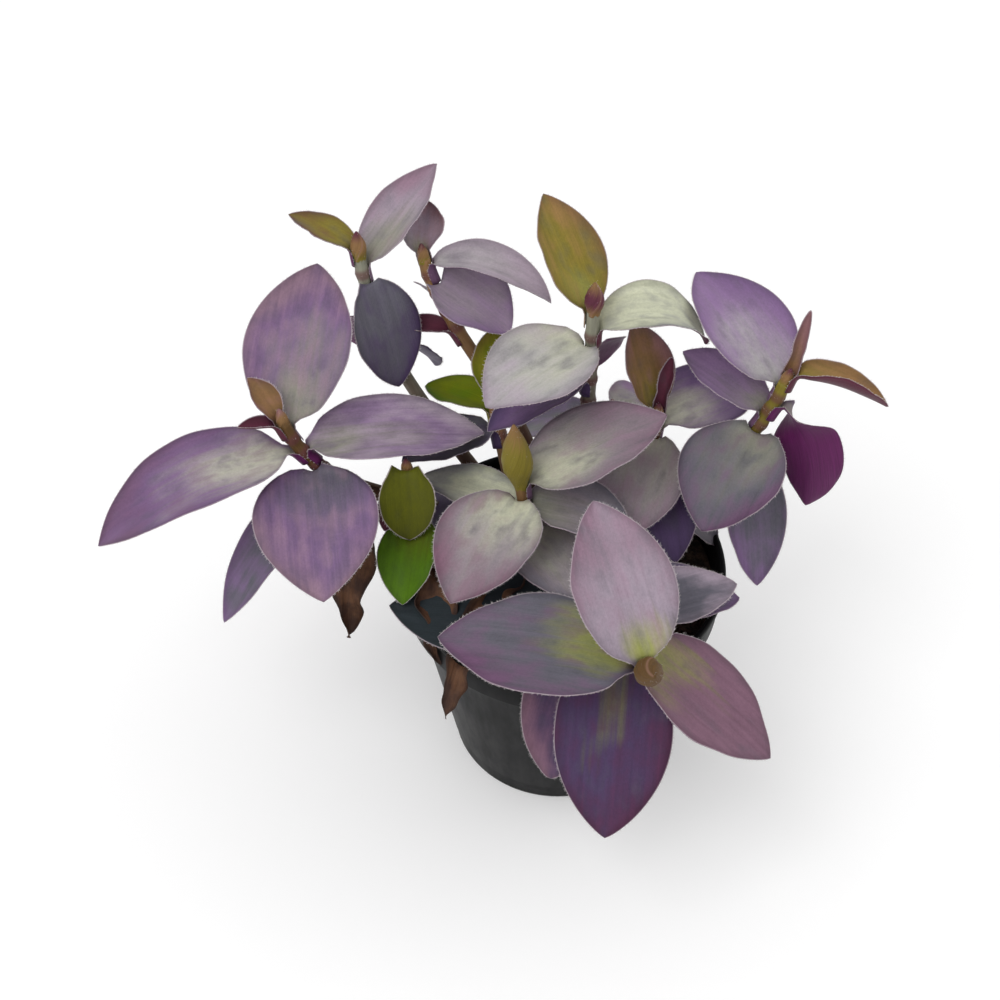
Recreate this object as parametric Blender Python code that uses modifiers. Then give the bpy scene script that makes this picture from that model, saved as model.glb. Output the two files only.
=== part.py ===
"""Potted tradescantia: a plain nursery pot, its soil, eleven leafy shoots.

Lengths in the tables are millimetres and angles are degrees.  The pot stands
on z = 0 with its centre line on the z axis; the front of the plant is -Y.
"""
import math

import bmesh
import bpy
from mathutils import Vector

MM = 0.001
UP = Vector((0.0, 0.0, 1.0))

# ---- pot ----
POT_HEIGHT = 105.0
POT_BASE_RADIUS = 45.0
POT_NECK_RADIUS = 60.0
POT_RIM_RADIUS = 65.0
POT_RIM_DEPTH = 17.0
POT_WALL = 2.2
POT_FLOOR = 2.6
POT_STEPS = 40
DRAIN_COUNT = 6
DRAIN_RADIUS = 4.0
DRAIN_CIRCLE = 30.0

# ---- soil ----
SOIL_TOP = 93.0
SOIL_CROWN = 2.0
SOIL_CLEARANCE = 0.3
SOCKET_DEPTH = 12.0

# ---- stems ----
STEM_RADIUS = 3.0
STEM_TOP_RADIUS = 2.5
STEM_POINTS = 10

# ---- leaves ----
LEAF_GAP = 0.5
LEAF_THICKNESS = 0.8
SHEATH_LENGTH = 4.0
SHEATH_WRAP = 70.0
BEND_LENGTH = 7.0
ACROSS = 4
LONG_STATIONS = (0.07, 0.17, 0.30, 0.45, 0.60, 0.75, 0.90)
SHORT_STATIONS = (0.15, 0.38, 0.62, 0.85)
SHORT_LEAF = 40.0

# Shoots: foot in the soil (x, y), tip (x, y, z), heading and rise of the tip,
# height of the straight foot, length of the straight end, bud length and radius.
STEMS = {
    "a": ((-38, 20), (-108, 12, 174), 150, 82, 30, 52, 8, 2.4),
    "b": ((-26, 36), (-80, 68, 215), 100, 86, 22, 72, 12, 3.2),
    "c": ((-8, 40), (-56, 76, 204), 120, 78, 55, 40, 8, 2.4),
    "d": ((10, 38), (10, 38, 213), 90, 88, 50, 40, 14, 3.8),
    "e": ((46, 20), (85, 26, 182), 20, 78, 35, 48, 8, 2.4),
    "f": ((34, 28), (38, 36, 156), 60, 84, 28, 24, 8, 2.4),
    "g": ((-12, -6), (-20, 0, 177), 180, 86, 30, 40, 32, 6.0),
    "h": ((14, -22), (27, -92, 146), 280, 45, 34, 34, 14, 5.2),
    "i": ((-48, -12), (-61, 4, 156), 170, 84, 14, 44, 8, 2.4),
    "j": ((-18, 18), (-28, 42, 160), 110, 78, 30, 28, 8, 2.4),
    "k": ((12, 50), (24, 78, 122), 70, 45, 20, 20, 8, 2.4),
}

# Leaves: shoot, distance below its tip, heading, rise, droop along the blade,
# sideways swing, roll, length, width, cup, colour.
LEAVES = {
    "a1": ("a", 18, 82, 37, 20, 0, 0, 73, 43, 25, "violet"),
    "a2": ("a", 26, 204, 12, 50, 0, 0, 86, 42, 25, "violet"),
    "a3": ("a", 30, 13, 6, 24, 0, 0, 74, 39, 25, "violet"),
    "a4": ("a", 37, 278, -3, 30, 0, 0, 60, 48, 20, "violet"),
    "a5": ("a", 10, 142, 50, 10, 0, 0, 20, 13, 60, "bronze"),
    "a6": ("a", 45, 217, -26, 32, 0, 0, 76, 26, 30, "silver"),
    "b1": ("b", 22, 46, 41, 15, 0, 0, 51, 24, 25, "violet"),
    "b2": ("b", 14, 156, 23, 15, 0, 0, 31, 16, 30, "bronze"),
    "b3": ("b", 29, 309, -58, 20, 0, 0, 49, 31, 25, "silver"),
    "b5": ("b", 47, 110, -30, 40, 0, 0, 54, 30, 25, "violet"),
    "c1": ("c", 9, 86, 45, 10, 0, 0, 22, 19, 45, "bronze"),
    "c2": ("c", 25, 330, -10, 25, 0, 0, 39, 37, 25, "violet"),
    "c3": ("c", 17, -12, 22, 70, 0, 0, 56, 24, 40, "silver"),
    "c4": ("c", 33, 80, -20, 50, 0, 0, 60, 34, 25, "violet"),
    "d1": ("d", 20, 121, 48, 10, 0, 0, 49, 27, 35, "bronze"),
    "d2": ("d", 28, 10, 42, 115, 0, 0, 56, 30, 30, "silver"),
    "d3": ("d", 34, 218, 5, 25, 0, 0, 52, 42, 20, "silver"),
    "d4": ("d", 52, 204, -5, 25, 0, 0, 46, 24, 30, "violet"),
    "d5": ("d", 41, 95, -30, 50, 0, 0, 56, 36, 25, "violet"),
    "e1": ("e", 16, 124, 36, 30, 0, 0, 60, 39, 20, "violet"),
    "e2": ("e", 9, 346, 2, 30, 0, 20, 40, 22, 60, "bronze"),
    "e4": ("e", 30, 142, 25, 20, 0, 0, 42, 26, 25, "silver"),
    "e5": ("e", 37, 236, -10, 35, 0, 0, 50, 42, 20, "silver"),
    "e6": ("e", 23, 330, -45, 50, 0, 95, 54, 28, 25, "magenta"),
    "e7": ("e", 47, 284, -50, 20, 0, 0, 60, 26, 30, "silver"),
    "f1": ("f", 17, 32, 10, 20, 0, 0, 52, 38, 20, "violet"),
    "f2": ("f", 9, 122, 63, 10, 0, 0, 38, 24, 40, "bronze"),
    "f3": ("f", 32, 282, -10, 40, 0, 0, 48, 26, 25, "violet"),
    "f4": ("f", 22, 250, -15, 25, 0, 0, 48, 38, 20, "green"),
    "g1": ("g", 36, 18, 25, 15, 0, 0, 62, 40, 20, "silver"),
    "g2": ("g", 42, 240, 2, 28, 0, 0, 55, 40, 20, "violet"),
    "g3": ("g", 50, 146, 0, 20, 0, 0, 52, 24, 30, "silver"),
    "g4": ("g", 57, 303, 3, 20, 0, 0, 43, 38, 20, "green"),
    "h1": ("h", 19.5, 110, 45, 20, 0, 0, 62, 38, 20, "violet"),
    "h2": ("h", 25.3, 167, 8, 22, 0, 0, 74, 46, 10, "violet"),
    "h3": ("h", 39, 330, -21, 16, 0, 0, 66, 38, 8, "violet"),
    "h4": ("h", 48, 264, -27, 43, 0, 0, 80, 43, 12, "violet"),
    "h5": ("h", 63, 240, -11, 77, 0, 12, 76, 35, 10, "violet"),
    "h6": ("h", 69, 14, -2, 22, 0, 0, 54, 30, 25, "silver"),
    "h7": ("h", 80, 200, 1, 6, -36, 8, 84, 46, 12, "silver"),
    "i1": ("i", 10, 275, -50, 30, 0, 0, 33, 23, 35, "green"),
    "i2": ("i", 37, 262, -12, 20, 0, -15, 38, 26, 30, "green"),
    "j1": ("j", 17, 147, 10, 30, 0, 0, 35, 20, 30, "green"),
    "j2": ("j", 10, 90, 45, 10, 0, 0, 28, 18, 40, "green"),
    "k1": ("k", 10, 45, -10, 50, 0, 0, 54, 30, 25, "violet"),
    "k2": ("k", 23, 150, -4, 45, 0, 0, 54, 32, 25, "silver"),
}

COLOURS = {
    "violet": (0.30, 0.18, 0.33),
    "silver": (0.40, 0.38, 0.44),
    "bronze": (0.38, 0.26, 0.16),
    "green": (0.33, 0.40, 0.14),
    "magenta": (0.42, 0.06, 0.28),
}


def clear_scene():
    for obj in list(bpy.data.objects):
        bpy.data.objects.remove(obj, do_unlink=True)


def new_collection(name):
    collection = bpy.data.collections.new(name)
    bpy.context.scene.collection.children.link(collection)
    return collection


def material(name, colour, roughness):
    mat = bpy.data.materials.new(name + "_material")
    mat.use_nodes = True
    shader = mat.node_tree.nodes["Principled BSDF"]
    shader.inputs["Base Color"].default_value = (*colour, 1.0)
    shader.inputs["Roughness"].default_value = roughness
    mat.diffuse_color = (*colour, 1.0)
    return mat


def add_object(name, data, collection, colour=None, roughness=0.5):
    obj = bpy.data.objects.new(name, data)
    collection.objects.link(obj)
    if colour is not None:
        data.materials.append(material(name, colour, roughness))
    return obj


def smooth(value):
    value = min(1.0, max(0.0, value))
    return value * value * (3.0 - 2.0 * value)


def mix(a, b, share):
    return a + (b - a) * share


def direction(heading, rise):
    level = math.cos(math.radians(rise))
    return Vector((level * math.cos(math.radians(heading)),
                   level * math.sin(math.radians(heading)),
                   math.sin(math.radians(rise))))


# ---- turned parts ----

def turned(name, profile, steps, collection, colour, roughness):
    """Solid of revolution about z from a profile of (radius, height), top to bottom."""
    mesh = bpy.data.meshes.new(name)
    verts = [(radius * MM, 0.0, height * MM) for radius, height in profile]
    mesh.from_pydata(verts, [(i, i + 1) for i in range(len(verts) - 1)], [])
    obj = add_object(name, mesh, collection, colour, roughness)
    screw = obj.modifiers.new("turn", "SCREW")
    screw.axis = "Z"
    screw.steps = steps
    screw.render_steps = steps
    screw.use_merge_vertices = True
    screw.merge_threshold = 0.00001
    screw.use_smooth_shade = False
    return obj


def cylinder(name, radius, low, high, centre, sides, collection):
    bm = bmesh.new()
    bmesh.ops.create_cone(bm, cap_ends=True, segments=sides, radius1=radius * MM,
                          radius2=radius * MM, depth=(high - low) * MM)
    bmesh.ops.translate(bm, verts=bm.verts,
                        vec=(centre[0] * MM, centre[1] * MM, (high + low) * 0.5 * MM))
    mesh = bpy.data.meshes.new(name)
    bm.to_mesh(mesh)
    bm.free()
    obj = add_object(name, mesh, collection)
    obj.hide_render = True
    obj.display_type = "WIRE"
    return obj


def cut(target, cutter):
    boolean = target.modifiers.new("cut_" + cutter.name, "BOOLEAN")
    boolean.operation = "DIFFERENCE"
    boolean.solver = "EXACT"
    boolean.object = cutter


def pot_inside_radius(height):
    share = height / (POT_HEIGHT - POT_RIM_DEPTH)
    return mix(POT_BASE_RADIUS, POT_NECK_RADIUS, share) - POT_WALL


def build_pot(parts, cutters):
    shoulder = POT_HEIGHT - POT_RIM_DEPTH
    inner_rim = POT_RIM_RADIUS - POT_WALL
    profile = [
        (0.0, POT_FLOOR),
        (pot_inside_radius(POT_FLOOR), POT_FLOOR),
        (pot_inside_radius(shoulder), shoulder),
        (inner_rim, shoulder + 3.0),
        (inner_rim + 0.4, POT_HEIGHT - 1.0),
        (inner_rim + 1.2, POT_HEIGHT),
        (POT_RIM_RADIUS + 0.4, POT_HEIGHT),
        (POT_RIM_RADIUS + 1.0, POT_HEIGHT - 1.2),
        (POT_RIM_RADIUS + 1.0, POT_HEIGHT - 3.2),
        (POT_RIM_RADIUS, POT_HEIGHT - 4.0),
        (POT_RIM_RADIUS - 0.6, shoulder + 1.0),
        (POT_RIM_RADIUS - 1.4, shoulder),
        (POT_NECK_RADIUS, shoulder),
        (POT_BASE_RADIUS + 0.4, 2.0),
        (POT_BASE_RADIUS - 1.2, 0.0),
        (0.0, 0.0),
    ]
    pot = turned("pot", profile, POT_STEPS, parts, (0.012, 0.012, 0.013), 0.45)
    for index in range(DRAIN_COUNT):
        turn = math.tau * (index + 0.5) / DRAIN_COUNT
        centre = (DRAIN_CIRCLE * math.cos(turn), DRAIN_CIRCLE * math.sin(turn))
        cut(pot, cylinder("drain_cutter_%d" % index, DRAIN_RADIUS, -3.0,
                          POT_FLOOR + 3.0, centre, 12, cutters))


def build_soil(parts, cutters):
    shoulder = POT_HEIGHT - POT_RIM_DEPTH
    floor = POT_FLOOR + SOIL_CLEARANCE
    brim = POT_RIM_RADIUS - POT_WALL - SOIL_CLEARANCE
    profile = [
        (0.0, SOIL_TOP + SOIL_CROWN),
        (30.0, SOIL_TOP + SOIL_CROWN * 0.7),
        (52.0, SOIL_TOP),
        (brim, SOIL_TOP - 1.0),
        (brim, shoulder + 3.4),
        (pot_inside_radius(shoulder) - SOIL_CLEARANCE, shoulder + 0.2),
        (pot_inside_radius(floor) - SOIL_CLEARANCE - 0.1, floor),
        (0.0, floor),
    ]
    soil = turned("soil", profile, POT_STEPS, parts, (0.035, 0.022, 0.015), 0.95)
    for key, (foot, *_rest) in STEMS.items():
        cut(soil, cylinder("socket_cutter_" + key, STEM_RADIUS + 0.5,
                           SOIL_TOP - SOCKET_DEPTH, SOIL_TOP + 10.0, foot, 10, cutters))


# ---- stems ----

def stem_point(key, share):
    """Centre line of a shoot, a cubic curve from the soil to the tip."""
    foot, tip, heading, rise, lift, reach = STEMS[key][:6]
    start = Vector((foot[0], foot[1], SOIL_TOP + SOIL_CROWN + 1.0))
    end = Vector(tip)
    lower = start + UP * lift
    upper = end - direction(heading, rise) * reach
    back = 1.0 - share
    return (start * back ** 3 + lower * (3.0 * back * back * share)
            + upper * (3.0 * back * share * share) + end * share ** 3)


def stem_line(key, count=60):
    """Evenly numbered points with their distance below the tip."""
    points = [stem_point(key, i / count) for i in range(count + 1)]
    below = [0.0]
    for a, b in zip(reversed(points[1:]), reversed(points[:-1])):
        below.append(below[-1] + (b - a).length)
    return points, list(reversed(below))


def stem_radius(key, below, total):
    """Slim shoot that swells into the furled bud at its tip."""
    length, widest = STEMS[key][6:]
    if below >= length:
        return mix(STEM_TOP_RADIUS, STEM_RADIUS, (below - length) / (total - length))
    share = below / length
    if share > 0.6:
        return mix(widest, STEM_TOP_RADIUS, smooth((share - 0.6) / 0.4))
    return mix(0.5, widest, math.sin(0.5 * math.pi * share / 0.6))


def at_distance(key, below):
    """Point, axis and radius of a shoot at a distance below its tip."""
    points, distances = stem_line(key)
    for i in range(len(points) - 1):
        if distances[i + 1] <= below <= distances[i]:
            span = distances[i] - distances[i + 1]
            share = (distances[i] - below) / span
            point = points[i].lerp(points[i + 1], share)
            axis = (points[i + 1] - points[i]).normalized()
            return point, axis, stem_radius(key, below, distances[0])
    raise ValueError("a leaf of shoot %s sits below the soil, %.0f long" % (key, distances[0]))


def build_stem(key, parts):
    foot, bud_length = STEMS[key][0], STEMS[key][6]
    total = stem_line(key)[1][0]
    rings = [(Vector((foot[0], foot[1], SOIL_TOP - SOCKET_DEPTH + SOIL_CLEARANCE)), STEM_RADIUS)]
    body = [total * (1.0 - i / STEM_POINTS) for i in range(STEM_POINTS)]
    bud = [bud_length * share for share in (1.0, 0.8, 0.6, 0.35, 0.12, 0.0)]
    for below in [d for d in body if d > bud_length + 3.0] + bud:
        point, _axis, radius = at_distance(key, below)
        rings.append((point, radius))
    curve = bpy.data.curves.new("stem_" + key, "CURVE")
    curve.dimensions = "3D"
    curve.resolution_u = 1
    curve.render_resolution_u = 0
    curve.bevel_depth = 1.0 * MM
    curve.bevel_resolution = 2
    curve.use_fill_caps = True
    spline = curve.splines.new("POLY")
    spline.points.add(len(rings) - 1)
    for target, (point, radius) in zip(spline.points, rings):
        target.co = (*(point * MM), 1.0)
        target.radius = radius
    add_object("stem_" + key, curve, parts, (0.20, 0.16, 0.07), 0.6)


# ---- leaves ----

def blade_profile(share):
    """Share of the full width: ovate, widest before the middle, pointed."""
    return (share ** 0.78) * ((1.0 - share) ** 0.90) / 0.313


def leaf_frames(row, distances):
    """Midrib point, side and face vectors at each distance past the sheath."""
    key, below, heading, rise, droop, swing, roll, length = row[:8]
    centre, axis, radius = at_distance(key, below)
    radius += LEAF_GAP
    flat = direction(heading, 0.0)
    out = flat - axis * flat.dot(axis)
    out.normalize()
    point = centre + out * radius
    frames = {}
    step = 0.5
    here = -SHEATH_LENGTH
    wanted = sorted(distances)
    while wanted:
        share = max(here, 0.0) / length
        turn = smooth(here / BEND_LENGTH)
        forward = direction(heading + swing * share, rise - droop * share)
        forward = axis.lerp(forward, turn).normalized()
        level = math.radians(heading + swing * share)
        side_blade = Vector((math.sin(level), -math.cos(level), 0.0))
        side_stem = out.cross(axis)
        if side_stem.dot(side_blade) < 0.0:
            side_stem = -side_stem
        side = side_stem.lerp(side_blade, turn)
        side = (side - forward * side.dot(forward)).normalized()
        face = side.cross(forward)
        angle = math.radians(roll) * smooth(2.5 * share)
        side_r = side * math.cos(angle) + face * math.sin(angle)
        face_r = face * math.cos(angle) - side * math.sin(angle)
        while wanted and here >= wanted[0] - 1e-6:
            frames[wanted.pop(0)] = (point.copy(), side_r, face_r)
        point = point + forward * step
        here += step
    return frames, radius


def leaf_section(distance, length, width, cup, radius):
    """Half arc length and half arc angle of the cross-section."""
    wrap = math.radians(SHEATH_WRAP)
    half = radius * wrap
    if distance <= 0.0:
        return half, wrap
    share = distance / length
    opening = smooth(distance / (BEND_LENGTH * 1.2))
    half = max(half * (1.0 - share), width * 0.5 * blade_profile(share))
    return half, mix(wrap, math.radians(cup), opening)


def build_leaf(key, row, parts):
    length, width, cup, colour = row[7:]
    stations = SHORT_STATIONS if length < SHORT_LEAF else LONG_STATIONS
    distances = [-SHEATH_LENGTH, 0.0] + [length * share for share in stations]
    frames, radius = leaf_frames(row, distances + [length])
    bm = bmesh.new()
    rows = []
    for distance in distances:
        point, side, face = frames[distance]
        half, angle = leaf_section(distance, length, width, cup, radius)
        bend = half / angle
        ring = []
        for i in range(ACROSS + 1):
            turn = angle * (2.0 * i / ACROSS - 1.0)
            place = point + side * (bend * math.sin(turn)) + face * (bend * (1.0 - math.cos(turn)))
            ring.append(bm.verts.new(place * MM))
        rows.append(ring)
    tip = bm.verts.new(frames[length][0] * MM)
    for a, b in zip(rows, rows[1:]):
        for i in range(ACROSS):
            bm.faces.new((a[i], a[i + 1], b[i + 1], b[i]))
    for i in range(ACROSS):
        bm.faces.new((rows[-1][i], rows[-1][i + 1], tip))
    mesh = bpy.data.meshes.new("leaf_" + key)
    bm.normal_update()
    bm.to_mesh(mesh)
    bm.free()
    obj = add_object("leaf_" + key, mesh, parts, COLOURS[colour], 0.6)
    solid = obj.modifiers.new("thickness", "SOLIDIFY")
    solid.thickness = LEAF_THICKNESS * MM
    solid.offset = -1.0
    solid.use_even_offset = False


def main():
    clear_scene()
    parts = new_collection("potted_tradescantia")
    cutters = new_collection("cutters")
    build_pot(parts, cutters)
    build_soil(parts, cutters)
    for key in STEMS:
        build_stem(key, parts)
    for key, row in LEAVES.items():
        build_leaf(key, row, parts)


main()
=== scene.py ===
"""Looks of the potted tradescantia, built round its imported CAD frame.

Lengths in the tables are millimetres, angles are degrees, colours are sRGB
shares of 255.  The pot stands on z = 0; the front of the plant is -Y.
"""

import math
import random

import bmesh
import bpy
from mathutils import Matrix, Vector, noise


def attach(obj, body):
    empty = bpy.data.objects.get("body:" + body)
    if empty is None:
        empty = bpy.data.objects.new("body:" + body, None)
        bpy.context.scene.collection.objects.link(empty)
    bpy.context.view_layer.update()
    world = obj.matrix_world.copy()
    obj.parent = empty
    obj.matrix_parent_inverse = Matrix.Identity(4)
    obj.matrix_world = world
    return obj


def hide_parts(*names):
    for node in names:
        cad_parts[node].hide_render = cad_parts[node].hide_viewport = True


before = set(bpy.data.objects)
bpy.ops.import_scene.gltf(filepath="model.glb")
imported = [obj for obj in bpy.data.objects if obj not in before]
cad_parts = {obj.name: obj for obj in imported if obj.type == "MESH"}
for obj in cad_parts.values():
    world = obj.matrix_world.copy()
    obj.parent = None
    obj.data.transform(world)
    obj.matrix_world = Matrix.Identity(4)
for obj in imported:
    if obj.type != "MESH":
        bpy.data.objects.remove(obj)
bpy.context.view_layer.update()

MM = 0.001
UP = Vector((0.0, 0.0, 1.0))

# ---- the dimensions that the CAD model uses ----
POT_HEIGHT = 105.0
POT_BASE_RADIUS = 45.0
POT_NECK_RADIUS = 60.0
POT_RIM_RADIUS = 65.0
POT_RIM_DEPTH = 17.0
POT_WALL = 2.2
POT_FLOOR = 2.6
DRAIN_COUNT = 6
DRAIN_RADIUS = 4.0
DRAIN_CIRCLE = 30.0
SOIL_TOP = 93.0
SOIL_CROWN = 2.0
STEM_RADIUS = 3.0
STEM_TOP_RADIUS = 2.5
LEAF_GAP = 0.5
SHEATH_LENGTH = 4.0
SHEATH_WRAP = 70.0
BEND_LENGTH = 7.0
BASE_SPREAD = 0.16

# Shoots: foot in the soil (x, y), tip (x, y, z), heading and rise of the tip,
# height of the straight foot, length of the straight end, bud length and radius.
STEMS = {
    "a": ((-38, 20), (-108, 12, 174), 150, 82, 30, 52, 8, 2.4),
    "b": ((-26, 36), (-80, 68, 215), 100, 86, 22, 72, 12, 3.2),
    "c": ((-8, 40), (-56, 76, 204), 120, 78, 55, 40, 8, 2.4),
    "d": ((10, 38), (10, 38, 213), 90, 88, 50, 40, 14, 3.8),
    "e": ((46, 20), (85, 26, 182), 20, 78, 35, 48, 8, 2.4),
    "f": ((34, 28), (38, 36, 156), 60, 84, 28, 24, 8, 2.4),
    "g": ((-12, -6), (-20, 0, 177), 180, 86, 30, 40, 32, 6.0),
    "h": ((14, -22), (27, -92, 146), 280, 45, 34, 34, 14, 5.2),
    "i": ((-48, -12), (-61, 4, 156), 170, 84, 14, 44, 8, 2.4),
    "j": ((-18, 18), (-28, 42, 160), 110, 78, 30, 28, 8, 2.4),
    "k": ((12, 50), (24, 78, 122), 70, 45, 20, 20, 8, 2.4),
}

# Leaves: shoot, distance below its tip, heading, rise, droop along the blade,
# sideways swing, roll, length, width, cup.
LEAVES = {
    "a1": ("a", 18, 82, 37, 20, 0, 0, 73, 43, 25),
    "a2": ("a", 26, 204, 12, 50, 0, 0, 86, 42, 25),
    "a3": ("a", 30, 13, 6, 24, 0, 0, 74, 39, 25),
    "a4": ("a", 37, 278, -3, 30, 0, 0, 60, 48, 20),
    "a5": ("a", 10, 142, 50, 10, 0, 0, 20, 13, 60),
    "a6": ("a", 45, 217, -26, 32, 0, 0, 76, 26, 30),
    "b1": ("b", 22, 46, 41, 15, 0, 0, 51, 24, 25),
    "b2": ("b", 14, 156, 23, 15, 0, 0, 31, 16, 30),
    "b3": ("b", 29, 309, -58, 20, 0, 0, 49, 31, 25),
    "b5": ("b", 47, 110, -30, 40, 0, 0, 54, 30, 25),
    "c1": ("c", 9, 86, 45, 10, 0, 0, 22, 19, 45),
    "c2": ("c", 25, 330, -10, 25, 0, 0, 39, 37, 25),
    "c3": ("c", 17, -12, 22, 70, 0, 0, 56, 24, 40),
    "c4": ("c", 33, 80, -20, 50, 0, 0, 60, 34, 25),
    "d1": ("d", 20, 121, 48, 10, 0, 0, 49, 27, 35),
    "d2": ("d", 28, 10, 42, 115, 0, 0, 56, 30, 30),
    "d3": ("d", 34, 218, 5, 25, 0, 0, 52, 42, 20),
    "d4": ("d", 52, 204, -5, 25, 0, 0, 46, 24, 30),
    "d5": ("d", 41, 95, -30, 50, 0, 0, 56, 36, 25),
    "e1": ("e", 16, 124, 36, 30, 0, 0, 60, 39, 20),
    "e2": ("e", 9, 346, 2, 30, 0, 20, 40, 22, 60),
    "e4": ("e", 30, 142, 25, 20, 0, 0, 42, 26, 25),
    "e5": ("e", 37, 236, -10, 35, 0, 0, 50, 42, 20),
    "e6": ("e", 23, 330, -45, 50, 0, 95, 54, 28, 25),
    "e7": ("e", 47, 284, -50, 20, 0, 0, 60, 26, 30),
    "f1": ("f", 17, 32, 10, 20, 0, 0, 52, 38, 20),
    "f2": ("f", 9, 122, 63, 10, 0, 0, 38, 24, 40),
    "f3": ("f", 32, 282, -10, 40, 0, 0, 48, 26, 25),
    "f4": ("f", 22, 250, -15, 25, 0, 0, 48, 38, 20),
    "g1": ("g", 36, 18, 25, 15, 0, 0, 62, 40, 20),
    "g2": ("g", 42, 240, 2, 28, 0, 0, 55, 40, 20),
    "g3": ("g", 50, 146, 0, 20, 0, 0, 52, 24, 30),
    "g4": ("g", 57, 303, 3, 20, 0, 0, 43, 38, 20),
    "h1": ("h", 19.5, 110, 45, 20, 0, 0, 62, 38, 20),
    "h2": ("h", 25.3, 167, 8, 22, 0, 0, 74, 46, 10),
    "h3": ("h", 39, 330, -21, 16, 0, 0, 66, 38, 8),
    "h4": ("h", 48, 264, -27, 43, 0, 0, 80, 43, 12),
    "h5": ("h", 63, 240, -11, 77, 0, 12, 76, 35, 10),
    "h6": ("h", 69, 14, -2, 22, 0, 0, 54, 30, 25),
    "h7": ("h", 80, 200, 1, 6, -36, 8, 84, 46, 12),
    "i1": ("i", 10, 275, -50, 30, 0, 0, 33, 23, 35),
    "i2": ("i", 37, 262, -12, 20, 0, -15, 38, 26, 30),
    "j1": ("j", 17, 147, 10, 30, 0, 0, 35, 20, 30),
    "j2": ("j", 10, 90, 45, 10, 0, 0, 28, 18, 40),
    "k1": ("k", 10, 45, -10, 50, 0, 0, 54, 30, 25),
    "k2": ("k", 23, 150, -4, 45, 0, 0, 54, 32, 25),
}

# Small leaves that the CAD model leaves out, with the record slot.
EXTRA_LEAVES = {
    "a7": (("a", 13, 195, 12, 10, 0, 0, 17, 8, 60), "leaf_magenta"),
    "b4": (("b", 58, 42, -35, 30, 0, 0, 38, 22, 30), "leaf_violet"),
    "c5": (("c", 44, 172, 12, 20, 0, 0, 25, 12, 45), "leaf_magenta"),
    "e3": (("e", 5, 60, 76, 10, 0, 0, 24, 6, 60), "leaf_magenta"),
    "f5": (("f", 42, 325, -20, 26, 0, 0, 42, 20, 30), "leaf_silver"),
    "f6": (("f", 5, 60, 72, 0, 0, 0, 20, 7, 60), "leaf_magenta"),
    "g6": (("g", 45, 348, -2, 20, 0, 0, 44, 32, 25), "leaf_silver"),
    "h8": (("h", 58, 20, 8, 15, 0, 0, 48, 28, 25), "leaf_silver"),
    "i3": (("i", 24, 225, -30, 30, 0, 0, 20, 14, 50), "leaf_bronze"),
    "i5": (("i", 44, 82, 4, 40, 0, 0, 50, 30, 25), "leaf_violet"),
    "j3": (("j", 26, 203, 8, 26, 0, 0, 42, 24, 25), "leaf_violet"),
}

# Withered leaves that hang from old joints and over the rim.
DRY_LEAVES = {
    "a8": ("a", 60, 262, -35, 30, 0, 0, 62, 18, 50),
    "g5": ("g", 72, 240, 22, 95, 0, 0, 82, 16, 60),
    "i4": ("i", 50, 282, 25, 120, -10, 0, 58, 17, 60),
}

# Colour names of a leaf: base, middle, tip, underside.
PALETTE = {
    "silver": (196, 198, 172),
    "ash": (166, 163, 162),
    "sage": (138, 138, 122),
    "lime": (150, 154, 80),
    "frost": (154, 140, 153),
    "greige": (141, 131, 137),
    "lilac": (136, 110, 146),
    "violet": (116, 90, 128),
    "mauve": (134, 108, 124),
    "dusk": (116, 86, 102),
    "plum": (104, 76, 102),
    "aubergine": (78, 43, 68),
    "wine": (90, 44, 60),
    "slate": (98, 96, 106),
    "teal": (44, 51, 55),
    "indigo": (74, 58, 90),
    "olive": (124, 112, 42),
    "bronze": (134, 102, 66),
    "umber": (92, 68, 38),
    "fern": (72, 104, 2),
    "moss": (80, 82, 1),
    "lettuce": (108, 118, 3),
    "magenta": (92, 34, 82),
    "rose": (134, 96, 100),
    "grey": (120, 115, 120),
}
GREENS = ("moss", "fern", "lettuce")
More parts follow.
